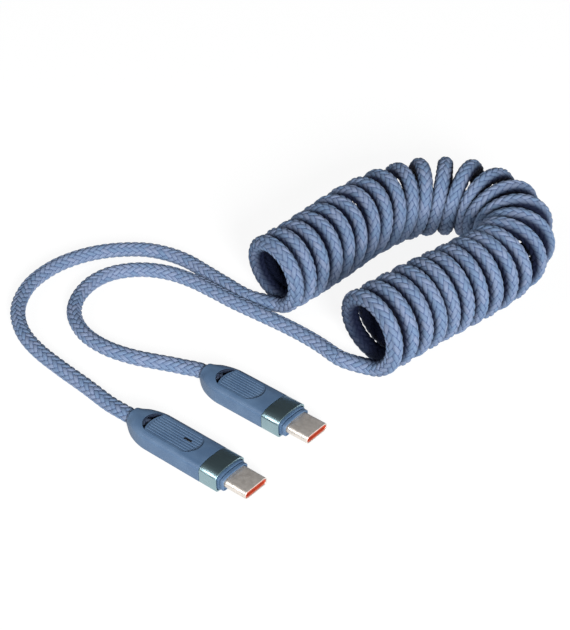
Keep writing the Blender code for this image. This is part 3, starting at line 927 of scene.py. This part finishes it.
band = section("trim_band", 0)
bpy.ops.mesh.select_all(action="SELECT")
extrude(BAND_LENGTH - 2 * BAND_GAP)
pick("faces", lambda at: abs(at.y) < TINY and TINY < at.z < PLUG_HEIGHT - SIDE_HEIGHT / 4)
bpy.ops.mesh.delete(type="ONLY_FACE")
close()
finish_by(band, "SOLIDIFY", thickness=BAND_WALL, offset=-1, use_even_offset=True)
soften(band, BAND_BEVEL, 3)
for plug, place in plug_places.items():
    piece = copied(band, f"{plug}_trim_band")
    forward = Vector((grip_lengths[plug] + BAND_GAP, 0, 0))
    settle_in(piece, f"{plug}_band", place + forward, 40)
    shaped[piece.name] = piece
bpy.data.objects.remove(band, do_unlink=True)

# %% [markdown]
# ## The metal shell and its liner
#
# The shell is a flat tube of plated steel, 8.25 mm by 2.4 mm by the standard, with its lip rolled
# slightly round. Inside it sits the orange insulator, and twelve sprung contacts show along the top
# and the bottom of its mouth. Shell and liner start as a cylinder whose halves are moved apart.

# %% Model one shell and copy it
SHELL_REACH = 6.65 * MM
SHELL_WALL = 0.3 * MM
LIP_RADIUS = 0.12 * MM
shell_length = SHELL_SEAT + SHELL_REACH

shell = round_bar("port_shell", SHELL_WIDTH, SHELL_HEIGHT, shell_length,
                  (SHELL_REACH - shell_length / 2, 0, HALF_HEIGHT), across=True)
edit()
pick("faces", lambda at: abs(at.y) < TINY and abs(at.z - HALF_HEIGHT) < TINY)
bpy.ops.mesh.delete(type="ONLY_FACE")
close()
finish_by(shell, "SOLIDIFY", thickness=SHELL_WALL, offset=-1, use_even_offset=True)
soften(shell, LIP_RADIUS, 4)

# %% Model one liner
LINER_WALL = 0.3 * MM
LINER_SETBACK = 0.15 * MM
LINER_BEVEL = 0.05 * MM
MOUTH_DEPTH = 6.2 * MM
liner_width = SHELL_WIDTH - 2 * (SHELL_WALL + SHELL_GAP)
liner_height = SHELL_HEIGHT - 2 * (SHELL_WALL + SHELL_GAP)
liner_length = shell_length - LINER_SETBACK
liner_front = SHELL_REACH - LINER_SETBACK

liner = round_bar("port_liner", liner_width, liner_height, liner_length,
                  (liner_front - liner_length / 2, 0, HALF_HEIGHT), across=True)
mouth = round_bar(
    "mouth", liner_width - 2 * LINER_WALL, liner_height - 2 * LINER_WALL, MOUTH_DEPTH + CUT_OVERRUN,
    (liner_front + (CUT_OVERRUN - MOUTH_DEPTH) / 2, 0, HALF_HEIGHT), across=True)
cut_out(liner, mouth)
soften(liner, LINER_BEVEL, 2)

# %% Model one contact, then two rows of twelve
CONTACT_WIDTH = 0.24 * MM
CONTACT_LENGTH = 3.6 * MM
CONTACT_HEIGHT = 0.12 * MM
CONTACT_PITCH = 0.5 * MM
CONTACT_COUNT = 12
CONTACT_SETBACK = 0.7 * MM
mouth_half = liner_height / 2 - LINER_WALL

bpy.ops.mesh.primitive_cube_add(size=1, location=(liner_front - CONTACT_SETBACK - CONTACT_LENGTH / 2, 0,
                                                  HALF_HEIGHT - mouth_half + CONTACT_HEIGHT / 2))
contact = bpy.context.object
contact.name = contact.data.name = "contact"
contact.scale = (CONTACT_LENGTH, CONTACT_WIDTH, CONTACT_HEIGHT)
bake_place()
edit()
pick("edges", lambda at: at.z > HALF_HEIGHT - mouth_half + CONTACT_HEIGHT - TINY and abs(at.y) < TINY)
bpy.ops.mesh.bevel(offset=CONTACT_HEIGHT * 0.8, segments=4, affect="EDGES")
close()
row = []
for side in (-1, 1):
    for number in range(CONTACT_COUNT):
        pin = copied(contact, "pin")
        only(pin)
        if side > 0:
            pin.rotation_euler = (math.pi, 0, 0)
            pin.location = (0, 0, PLUG_HEIGHT)
        pin.location.y = (number - (CONTACT_COUNT - 1) / 2) * CONTACT_PITCH
        bake_place()
        row.append(pin)
contacts = joined("port_contacts", row)
bpy.data.objects.remove(contact, do_unlink=True)

# %% Place shells, liners and contacts
for plug, place in plug_places.items():
    nose_front = place + Vector((grip_lengths[plug] + BAND_LENGTH + NOSE_LENGTH, 0, 0))
    for source, kind, node, slot in (
            (shell, "port_shell", "shell", "nickel_plate"),
            (liner, "port_liner", "liner", "orange_insulator"),
            (contacts, "port_contacts", "", "nickel_plate")):
        piece = copied(source, f"{plug}_{kind}")
        settle_in(piece, node and f"{plug}_{node}", nose_front, 40)
        shaped[piece.name] = piece
for source in (shell, liner, contacts):
    bpy.data.objects.remove(source, do_unlink=True)

# %% [markdown]
# ## The indicator lamp
#
# A small smoked lens lies in its slot in the long plug's pad, just below the surface. It is the same
# round-ended bar as the slot, a little smaller, with its upper rim bevelled.

# %% Model the lens
LENS_GAP = 0.08 * MM
LENS_BEVEL = 0.1 * MM
lens_height = LAMP_DEPTH - 2 * LENS_GAP
lens_middle = (
    grip_lengths["long_plug"] - LAMP_SETBACK, LAMP_SIDE, PAD_SURFACE - LENS_GAP - lens_height / 2)

lens = round_bar("long_plug_lens", LAMP_LENGTH - 2 * LENS_GAP, LAMP_WIDTH - 2 * LENS_GAP, lens_height,
                 lens_middle, sides=32)
edit()
pick("edges", lambda at: at.z > PAD_SURFACE - LENS_GAP - TINY)
bpy.ops.mesh.bevel(offset=LENS_BEVEL, segments=3, affect="EDGES")
close()
settle_in(lens, "long_plug_lamp", plug_places["long_plug"], 40)
shaped["long_plug_lens"] = lens

# %% [markdown]
# ## Shader maths
#
# A finish is a Principled shader whose colour, roughness and bump vary over the surface. Wiring such
# maths by hand takes dozens of nodes, so one small class wraps a socket and overloads + and *, and
# every other node comes from a single method.

# %% A wire that works in Python expressions


class Wire:
    """A node's output that can be added and multiplied."""

    def __init__(self, finish, socket):
        self.finish = finish
        self.socket = socket

    def join(self, operation, first, second):
        """Put a Math node after two operands."""
        return self.finish.node("ShaderNodeMath", {"operation": operation}, {0: first, 1: second})

    def __add__(self, other):
        return self.join("ADD", self, other)

    def __radd__(self, other):
        return self.join("ADD", other, self)

    def __mul__(self, other):
        return self.join("MULTIPLY", self, other)

    def __rmul__(self, other):
        return self.join("MULTIPLY", other, self)


# %% A material with one method that adds its nodes


class Finish:
    """A Principled material whose nodes are added from Python."""

    def __init__(self, name, **even):
        self.material = bpy.data.materials.new(name)
        self.material.use_nodes = True
        self.tree = self.material.node_tree
        self.shader = self.tree.nodes["Principled BSDF"]
        for slot, value in even.items():
            self.feed(self.shader.inputs[slot.replace("_", " ")], value)

    def node(self, kind, settings=None, inputs=None, output=0):
        """Add a node: its settings first, then the values or wires of its sockets."""
        made = self.tree.nodes.new(kind)
        for name, value in (settings or {}).items():
            setattr(made, name, value)
        for slot, value in (inputs or {}).items():
            self.feed(made.inputs[slot], value)
        return Wire(self, made.outputs[output])

    def feed(self, socket, value):
        """Link a wire to a socket, or set a plain value there."""
        if isinstance(value, Wire):
            self.tree.links.new(value.socket, socket)
        elif socket.type == "RGBA":
            socket.default_value = (*value, 1)
        else:
            socket.default_value = value

    def set(self, slot, value):
        """Feed one of the Principled shader's own sockets."""
        self.feed(self.shader.inputs[slot], value)

    def step(self, value, low, high):
        """0 below low, 1 above high, and a smooth ramp between them."""
        return self.node("ShaderNodeMapRange", {"interpolation_type": "SMOOTHSTEP"},
                         {"Value": value, "From Min": low, "From Max": high})

    def mix(self, factor, first, second):
        """Blend two colours."""
        return self.node("ShaderNodeMix", {"data_type": "RGBA"}, {0: factor, 6: first, 7: second}, 2)

    def noise(self, place, scale, detail=2.0):
        """A noise value around a half."""
        return self.node("ShaderNodeTexNoise", {}, {"Vector": place, "Scale": scale, "Detail": detail})

    def stretch(self, place, scale):
        """Scale a pattern's coordinates."""
        return self.node("ShaderNodeVectorMath", {"operation": "MULTIPLY"}, {0: place, 1: scale})

    def bump(self, height, strength, distance):
        """Feed the shader's normal from a height."""
        self.set("Normal", self.node("ShaderNodeBump", {}, {
            "Height": height, "Strength": strength, "Distance": distance}))

    def object_place(self):
        """The point's place on the object, in metres."""
        return self.node("ShaderNodeTexCoord", output=3)


# %% [markdown]
# ## The braided nylon
#
# Each strand is a flat bundle of fine filaments. Painted shade makes it palest on its crown and nearly
# black where it dives under its neighbour, where light doesn't get in. The height of the weave is
# stored on the mesh, so the painted shade can follow it, and so is how far a point faces out of the
# coil, so that painted shade also darkens the cord where turns touch and inside the plugs. Single
# floats differ a little, from slate to lavender, and the filaments run along the strand as fine ridges.

# %% The cord's finish
SLATE = (0.112, 0.165, 0.255)
LAVENDER = (0.152, 0.192, 0.282)
# The next navy is painted shade in the gaps where strands dive under, and the tint of the filament
# streaks
STREAK_AND_GAP_SHADE_NAVY = (0.007, 0.020, 0.085)
# The next colour is painted shade where turns touch and inside the plugs
PAINTED_DEEP_SHADE = (0.0006, 0.002, 0.012)
FILAMENTS_PER_STRAND = 9
WEAR = 0.72
LEAST_LIGHT = 0.02


def braided_cord():
    """Strands in slate and lavender with painted shade in the gaps, between turns and inside the plugs.
    """
    finish = Finish("braided_cord", Roughness=0.8, Specular_IOR_Level=0.1)
    lift = finish.node("ShaderNodeAttribute", {"attribute_name": "lift"}, output=2)
    tint = finish.node("ShaderNodeAttribute", {"attribute_name": "tint"}, output=2)
    strand = finish.node("ShaderNodeUVMap", {"uv_map": "strand"})
    filaments = finish.noise(finish.stretch(strand, (0.6, FILAMENTS_PER_STRAND, 1)), 1.0)
    shade = finish.mix(finish.step(tint, 0.0, 1.0), SLATE, LAVENDER)
    streaked = finish.mix(finish.step(filaments, 0.3, 0.6), STREAK_AND_GAP_SHADE_NAVY, shade)
    worn = finish.mix(WEAR, streaked, shade)
    painted_light_share = finish.node("ShaderNodeAttribute", {"attribute_name": "painted_light_share"}, output=2)
    # Painted shade: where the weave is low, in the gaps between strands, the colour turns dark navy
    woven = finish.mix(finish.step(lift, -0.05, 0.6), STREAK_AND_GAP_SHADE_NAVY, worn)
    # Painted shade: with little painted light, the colour goes to near black navy
    lit = LEAST_LIGHT + (1 - LEAST_LIGHT) * finish.step(painted_light_share, 0.1, 1.0)
    finish.set("Base Color", finish.mix(lit, PAINTED_DEEP_SHADE, woven))
    finish.bump(filaments, 0.35, 0.12 * MM)
    return finish.material


cord_finish = braided_cord()
for piece in braids.values():
    piece.data.materials.append(cord_finish)
print("cord pieces finished:", len(braids))

# %% [markdown]
# ## The plugs' finishes
#
# The grip is a soft-touch moulding in slate blue: fine spark-eroded grain in the bump, and a faint
# cloudiness in colour and roughness. The upright faces that line the window get a painted shade,
# nearly black, because little light gets in. The band is metal under teal lacquer, and it mirrors
# the dark room above and the white table beside it. The shell is satin nickel, drawn along its
# length, so its streaks are stretched that way. The liner is glossy orange plastic, and the lens is
# almost black glass.

# %% The grip's soft-touch plastic
GRIP_BLUE = (0.054, 0.098, 0.172)
GRIP_WORN = (0.068, 0.117, 0.195)
# The next colour is painted shade on the faces that line the window
WINDOW_SHADE = (0.006, 0.010, 0.024)


def soft_touch():
    """Matte moulded plastic with a fine grain."""
    finish = Finish("soft_touch_plastic", Specular_IOR_Level=0.4)
    place = finish.object_place()
    cloud = finish.noise(place, 260.0, 4.0)
    grain = finish.noise(place, 9000.0, 1.0)
    shade_mask = finish.node("ShaderNodeAttribute", {"attribute_name": "window_painted_shade"}, output=2)
    skin = finish.mix(finish.step(cloud, 0.35, 0.7), GRIP_BLUE, GRIP_WORN)
    # Painted shade: the faces that line the window turn nearly black
    finish.set("Base Color", finish.mix(shade_mask, skin, WINDOW_SHADE))
    finish.set("Roughness", 0.46 + 0.12 * cloud)
    finish.bump(grain, 0.22, 0.04 * MM)
    return finish.material


# %% The band's lacquered metal
BAND_TEAL = (0.29, 0.42, 0.455)
BAND_SHADE = (0.25, 0.38, 0.42)


def lacquered_metal():
    """Glossy teal over metal, with slight waves and hairlines."""
    finish = Finish("teal_lacquered_metal", Metallic=1.0, Coat_Roughness=0.08)
    place = finish.object_place()
    waves = finish.noise(place, 180.0, 2.0)
    hairlines = finish.noise(finish.stretch(place, (300.0, 5000.0, 5000.0)), 1.0)
    finish.set("Base Color", finish.mix(finish.step(waves, 0.3, 0.7), BAND_TEAL, BAND_SHADE))
    finish.set("Roughness", 0.30 + 0.10 * hairlines + 0.04 * waves)
    finish.set("Coat Weight", 0.35 + 0.1 * waves)
    finish.bump(hairlines, 0.02, 0.005 * MM)
    return finish.material


# %% The shell's satin nickel
NICKEL = (0.68, 0.63, 0.58)
NICKEL_DULL = (0.59, 0.545, 0.50)


def satin_nickel():
    """Plated steel with fine streaks along the plug."""
    finish = Finish("nickel_plate")
    place = finish.object_place()
    streaks = finish.noise(finish.stretch(place, (400.0, 9000.0, 9000.0)), 1.0, 3.0)
    patches = finish.noise(place, 700.0, 3.0)
    finish.set("Base Color", finish.mix(finish.step(patches, 0.35, 0.7), NICKEL, NICKEL_DULL))
    finish.set("Metallic", 0.7 + 0.1 * patches)
    finish.set("Roughness", 0.34 + 0.16 * streaks)
    finish.bump(streaks, 0.12, 0.012 * MM)
    return finish.material


# %% Orange insulator and smoked lens
ORANGE = (0.36, 0.046, 0.018)
ORANGE_DEEP = (0.28, 0.030, 0.012)
LENS_BLACK = (0.003, 0.003, 0.005)
LENS_HAZE = (0.006, 0.007, 0.010)


def orange_plastic():
    """Glossy moulded insulator with faint flow marks."""
    finish = Finish("orange_insulator", Specular_IOR_Level=0.5)
    flow = finish.noise(finish.object_place(), 900.0, 2.0)
    finish.set("Base Color", finish.mix(finish.step(flow, 0.3, 0.7), ORANGE, ORANGE_DEEP))
    finish.set("Roughness", 0.28 + 0.12 * flow)
    return finish.material


def smoked_glass():
    """A nearly black lens."""
    finish = Finish("smoked_lens", Coat_Roughness=0.03)
    haze = finish.noise(finish.object_place(), 1500.0, 2.0)
    finish.set("Base Color", finish.mix(haze, LENS_BLACK, LENS_HAZE))
    finish.set("Roughness", 0.25 + 0.10 * haze)
    finish.set("Coat Weight", 0.1 + 0.1 * haze)
    return finish.material


# %% Give each piece its finish
plug_finishes = {
    "body": soft_touch(), "trim_band": lacquered_metal(), "port_shell": satin_nickel(),
    "port_liner": orange_plastic(), "lens": smoked_glass(),
}
plug_finishes["port_contacts"] = plug_finishes["port_shell"]
for name, piece in shaped.items():
    piece.data.materials.clear()
    piece.data.materials.append(plug_finishes[name.split("_plug_")[1]])
print("plug pieces finished:", len(shaped))

# %% [markdown]
# ## Table and light
#
# The photograph has a seamless white ground and large soft lights. The ground glows, as an
# overexposed sweep does. The key light stands low on the right, so that the turns are palest on the
# side and darker on top. The fill stands in front on the left, where the near shoulder of each band
# mirrors it as a bright line, and a weak light behind keeps the far side from going black.

# %% A pale seamless table
bpy.ops.mesh.primitive_plane_add(size=6, location=(0, 0, 0))
table = bpy.context.object
table.name = "table"
table.data.materials.append(Finish(
    "pale_ground", Base_Color=(0.1, 0.1, 0.1), Roughness=0.9, Specular_IOR_Level=0.1,
    Emission_Color=(1, 1, 1), Emission_Strength=0.9).material)

# %% Soft light
ROOM_COLOR = (0.9, 0.93, 1)
ROOM_GLOW = 0.07

world = bpy.context.scene.world or bpy.data.worlds.new("world")
bpy.context.scene.world = world
world.use_nodes = True
world.node_tree.nodes["Background"].inputs["Color"].default_value = (*ROOM_COLOR, 1)
world.node_tree.nodes["Background"].inputs["Strength"].default_value = ROOM_GLOW
bpy.context.scene.view_settings.view_transform = "Standard"


def soft_light(name, place, size, power):
    """A square area light that looks at the middle of the picture."""
    data = bpy.data.lights.new(name, "AREA")
    data.shape = "SQUARE"
    data.size = size
    data.energy = power
    lamp = bpy.data.objects.new(name, data)
    bpy.context.scene.collection.objects.link(lamp)
    lamp.location = place
    lamp.rotation_euler = (CAMERA_AIM - Vector(place)).to_track_quat("-Z", "Y").to_euler()


soft_light("key", place=(0.95, -0.65, 0.52), size=0.35, power=34)
soft_light("fill", place=(-0.6, -0.95, 0.85), size=0.6, power=10)
soft_light("back", place=(0.65, 1.1, 0.35), size=0.5, power=4)
